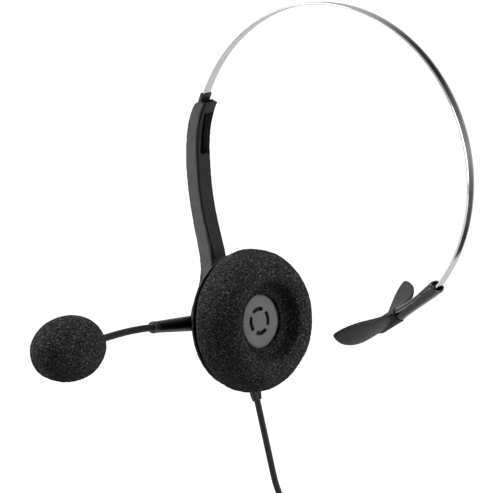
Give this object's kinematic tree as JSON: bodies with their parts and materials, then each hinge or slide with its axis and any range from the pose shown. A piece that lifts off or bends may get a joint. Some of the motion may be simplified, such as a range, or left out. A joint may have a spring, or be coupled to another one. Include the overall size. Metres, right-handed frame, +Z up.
{
  "type": "office headset",
  "caption": "One-ear over-the-head office headset: thin steel headband, sliding arm, foam ear cushion, turning boom with gooseneck microphone, and a temple bar on the other side.",
  "frame": {"origin": "middle of the flat on the underside of the headband's highest point, where it rests on a hook", "axes": "+Z up, +X from the ear cup across the head to the temple bar, -Y forwards to the microphone"},
  "size_m": [0.1223, 0.1283, 0.2486],
  "materials": {
    "polished_steel": "polished strip steel",
    "zinc": "zinc plated",
    "satin_black": "satin moulded",
    "gloss_black": "polished moulded",
    "matt_black": "matt moulded",
    "grey_plate": "matt moulded",
    "foam": "open-cell foam",
    "rubber": "soft PVC",
    "felt": "pressed felt",
    "board": "lacquered",
    "film": "thin film",
    "clear_plastic": "clear moulded",
    "gold": "gold flash"
  },
  "bodies": {
    "headband": {"headband_strip": "polished_steel", "band_slide_block": "matt_black", "slide_block_rivet": "zinc", "temple_stem": "gloss_black", "temple_stem_pin": "zinc", "temple_pad_screw": "zinc"},
    "arm": {"arm_outer_shell": "satin_black", "arm_inner_cover": "matt_black", "arm_top_guide": "rubber", "detent_spring": "polished_steel", "arm_cover_screw": "zinc", "ball_stud": "zinc", "hub_screw": "zinc", "wave_washer": "polished_steel", "friction_washer": "felt"},
    "boom": {"boom_rotor": "satin_black", "rotor_cap": "gloss_black", "boom_tube": "satin_black", "boom_collar": "gloss_black", "gooseneck_root": "matt_black"},
    "neck": {"gooseneck_middle": "matt_black"},
    "mic": {"gooseneck_tip": "matt_black", "mic_holder": "satin_black", "mic_capsule": "zinc", "mic_windscreen": "foam"},
    "ear_pivot": {"ball_liner": "felt"},
    "plug_latch": {"plug_latch": "clear_plastic"},
    "temple": {"temple_pad": "matt_black"},
    "ear_cup": {"ear_cup_shell": "satin_black", "speaker_carrier": "satin_black", "shell_screw_1": "zinc", "shell_screw_2": "zinc", "shell_screw_3": "zinc", "speaker_plate": "grey_plate", "speaker_basket": "zinc", "speaker_magnet": "polished_steel", "speaker_membrane": "film", "damping_felt": "felt", "terminal_board": "board", "ear_cushion": "foam", "cable_boot": "rubber", "cable": "rubber", "cable_clamp": "satin_black", "clamp_screw": "zinc", "plug_body": "clear_plastic", "plug_contact_1": "gold", "plug_contact_2": "gold", "plug_contact_3": "gold", "plug_contact_4": "gold"}
  },
  "joints": [
    {"name": "arm_extend", "type": "hinge", "parent": "headband", "child": "arm", "pos_m": [0, 0, -0.05934], "axis": [0, -1, 0], "range_deg": [0, 13.5], "stiffness_Nm_per_rad": 1},
    {"name": "boom_turn", "type": "hinge", "parent": "arm", "child": "boom", "pos_m": [-0.04706, 0, -0.12209], "axis": [0.9903, 0, 0.1392], "range_deg": [-25, 218], "stiffness_Nm_per_rad": 0.15},
    {"name": "neck_bend_a", "type": "hinge", "parent": "boom", "child": "neck", "pos_m": [-0.05272, -0.0427, -0.11774], "axis": [-0.1392, 0, 0.9903], "range_deg": [-20, 22], "stiffness_Nm_per_rad": 0.05},
    {"name": "neck_bend_b", "type": "hinge", "parent": "neck", "child": "mic", "pos_m": [-0.05227, -0.05365, -0.11679], "axis": [-0.1392, 0, 0.9903], "range_deg": [-20, 22], "stiffness_Nm_per_rad": 0.05},
    {"name": "ear_swivel", "type": "hinge", "parent": "arm", "child": "ear_pivot", "pos_m": [-0.04409, 0, -0.12167], "axis": [-0.1392, 0, 0.9903], "range_deg": [-3.5, 16.5], "stiffness_Nm_per_rad": 0.05},
    {"name": "ear_tilt", "type": "hinge", "parent": "ear_pivot", "child": "ear_cup", "pos_m": [-0.04409, 0, -0.12167], "axis": [0.1121, 0.9936, 0.0158], "range_deg": [-8, 8], "stiffness_Nm_per_rad": 0.4},
    {"name": "temple_turn", "type": "hinge", "parent": "headband", "child": "temple", "pos_m": [0.0261, 0, -0.11148], "axis": [-0.8192, 0, -0.5736], "range_deg": [-12, 37]},
    {"name": "latch_flex", "type": "hinge", "parent": "ear_cup", "child": "plug_latch", "pos_m": [-0.01415, 0.01163, -0.24672], "axis": [0.1121, 0.9936, 0.0158], "range_deg": [0, 8]}
  ]
}
